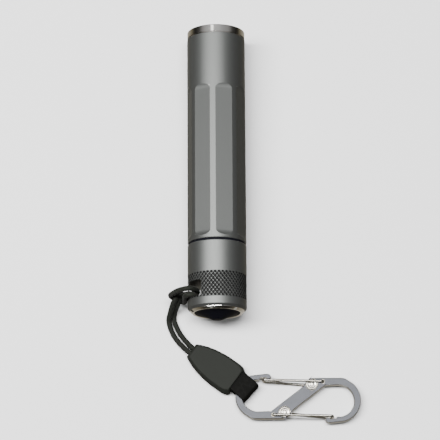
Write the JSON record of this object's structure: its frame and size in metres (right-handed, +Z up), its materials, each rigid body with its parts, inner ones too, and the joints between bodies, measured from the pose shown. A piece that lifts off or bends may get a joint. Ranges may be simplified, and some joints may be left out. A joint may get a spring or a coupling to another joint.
{
  "type": "keychain flashlight",
  "caption": "Small flat-sided aluminium flashlight with a knurled screw-on tail cap, a push button, and a corded tag that carries a double-gate S clip.",
  "frame": {"origin": "middle of the torch's footprint on the surface it lies on, the torch without its lanyard", "axes": "+Y along the torch towards the lens, +Z up from the surface, +X to the right with the lens away from the viewer"},
  "size_m": [0.0475, 0.0987, 0.0145],
  "materials": {
    "anodised": "satin anodised grey",
    "polished_steel": "polished stainless steel",
    "clip_steel": "stamped and tumbled stainless steel",
    "gate_wire": "bright drawn wire",
    "lens_glass": "clear, coated",
    "mirror": "vacuum-metallised",
    "black_rubber": "matt moulded",
    "tag_rubber": "matt moulded",
    "cord": "braided nylon",
    "webbing": "woven nylon",
    "led": "phosphor under a clear dome",
    "white_plastic": "moulded",
    "ivory_plastic": "moulded acetal",
    "black_plastic": "moulded",
    "circuit_board": "solder mask",
    "board_white": "white solder mask on aluminium",
    "brass": "turned",
    "gold_plate": "plated",
    "wire_red": "insulated",
    "cell_steel": "nickel-plated",
    "cell_sleeve": "shrunk film, plain"
  },
  "bodies": {
    "cell": {"cell_can": "cell_steel", "cell_sleeve": "cell_sleeve", "cell_nub": "cell_steel", "cell_gasket": "white_plastic"},
    "barrel": {"barrel": "anodised", "bezel_ring": "polished_steel", "front_lens": "lens_glass", "lens_seal": "black_rubber", "reflector": "mirror", "led_emitter": "led", "led_isolator": "white_plastic", "led_board": "board_white", "light_engine_pill": "brass", "driver_board": "circuit_board", "driver_parts": "black_plastic", "led_wires": "wire_red", "front_contact": "gold_plate", "contact_insulator": "black_plastic", "body_seal": "black_rubber"},
    "tail": {"tail_cap": "anodised", "tail_ring": "polished_steel", "tail_spring": "gold_plate", "switch_retainer": "brass", "switch_board": "circuit_board", "switch_housing": "black_plastic", "tact_switch": "cell_steel", "lanyard_cord": "cord"},
    "button": {"switch_stem": "black_plastic", "switch_plunger": "ivory_plastic", "button_boot": "black_rubber"},
    "tag": {"tag_sleeve": "tag_rubber", "cord_crimp": "brass", "webbing_loop": "webbing"},
    "clip": {"clip_frame": "clip_steel", "gate_eyelets": "gate_wire", "gate_pins": "gate_wire"},
    "upper_gate": {"gate_upper": "gate_wire"},
    "lower_gate": {"gate_lower": "gate_wire"}
  },
  "joints": [
    {"name": "cell_travel", "type": "slide", "parent": "tail", "child": "cell", "axis": [0, 1, 0], "range_m": [0, 0.003]},
    {"name": "barrel_turn", "type": "hinge", "parent": "cell", "child": "barrel", "pos_m": [0, 0, 0.00725], "axis": [0, 1, 0], "range_deg": [0, 1441]},
    {"name": "button_press", "type": "slide", "parent": "tail", "child": "button", "axis": [0, 1, 0], "range_m": [0, 0.0008], "stiffness_N_per_m": 1500, "springref_m": -0.0003},
    {"name": "tag_swing", "type": "hinge", "parent": "tail", "child": "tag", "pos_m": [-0.00645, -0.04333, 0.0013], "axis": [-0.5948, -0.8039, 0], "range_deg": [0, 90], "deforming": ["lanyard_cord"]},
    {"name": "clip_swing", "type": "hinge", "parent": "tag", "child": "clip", "pos_m": [0.00617, -0.05247, 0.0016], "axis": [-0.6704, -0.742, 0], "range_deg": [0, 100], "deforming": ["webbing_loop"]},
    {"name": "upper_gate_open", "type": "hinge", "parent": "clip", "child": "upper_gate", "pos_m": [0.0257, -0.0515, 0.0016], "axis": [0, 0, 1], "range_deg": [0, 22], "stiffness_Nm_per_rad": 0.004, "springref_deg": -11.46},
    {"name": "lower_gate_open", "type": "hinge", "parent": "clip", "child": "lower_gate", "pos_m": [0.0135, -0.0597, 0.0016], "axis": [0, 0, 1], "range_deg": [0, 22], "stiffness_Nm_per_rad": 0.004, "springref_deg": -11.46}
  ],
  "couplings": [
    {"joint": "barrel_turn", "follows": "cell_travel", "rad_per_m": 8377.6}
  ]
}
